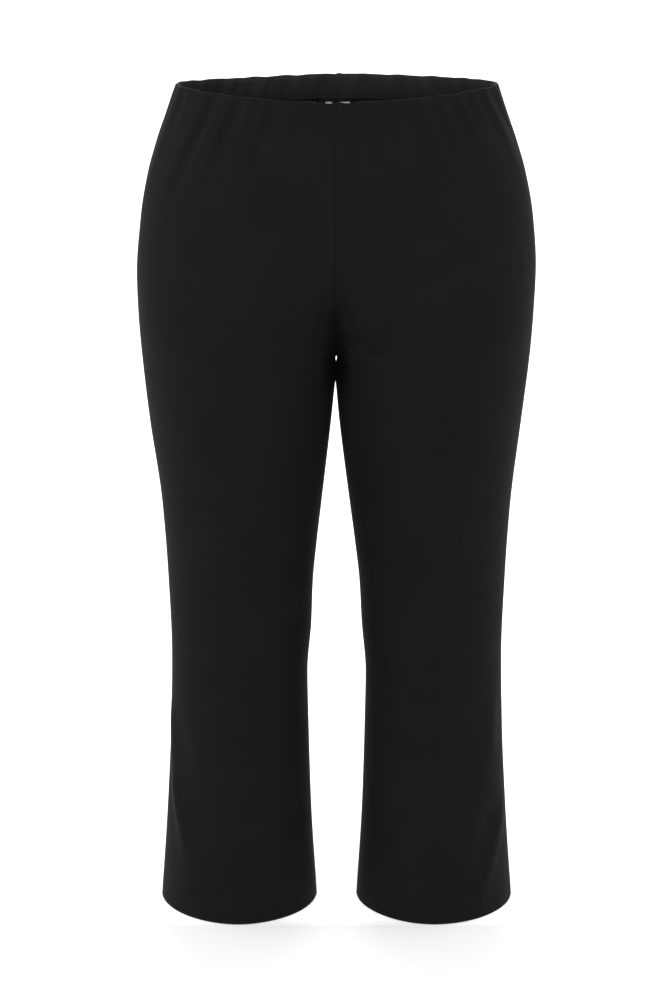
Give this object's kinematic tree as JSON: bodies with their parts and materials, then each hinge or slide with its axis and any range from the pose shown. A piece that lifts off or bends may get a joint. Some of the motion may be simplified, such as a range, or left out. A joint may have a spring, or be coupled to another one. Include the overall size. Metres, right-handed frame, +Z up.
{
  "type": "flared trousers",
  "caption": "Hollow flared pull-on trousers, elastic waist with gathers, fitted hips and legs opening from the knee.",
  "frame": {"origin": "middle of the waist opening, level with the top of the side seams, where the wearer's waist holds the trousers", "axes": "+Z up along the legs, -Y towards the front, +X towards the wearer's left"},
  "size_m": [0.4604, 0.3279, 0.9811],
  "materials": {
    "jersey": "smooth black stretch jersey with a soft sheen",
    "casing": "the same jersey turned in over elastic",
    "label": "plain black woven tape"
  },
  "bodies": {
    "root": {"front_left": "jersey", "front_right": "jersey", "back_left": "jersey", "back_right": "jersey", "waist_casing": "casing", "label": "label"}
  },
  "joints": []
}
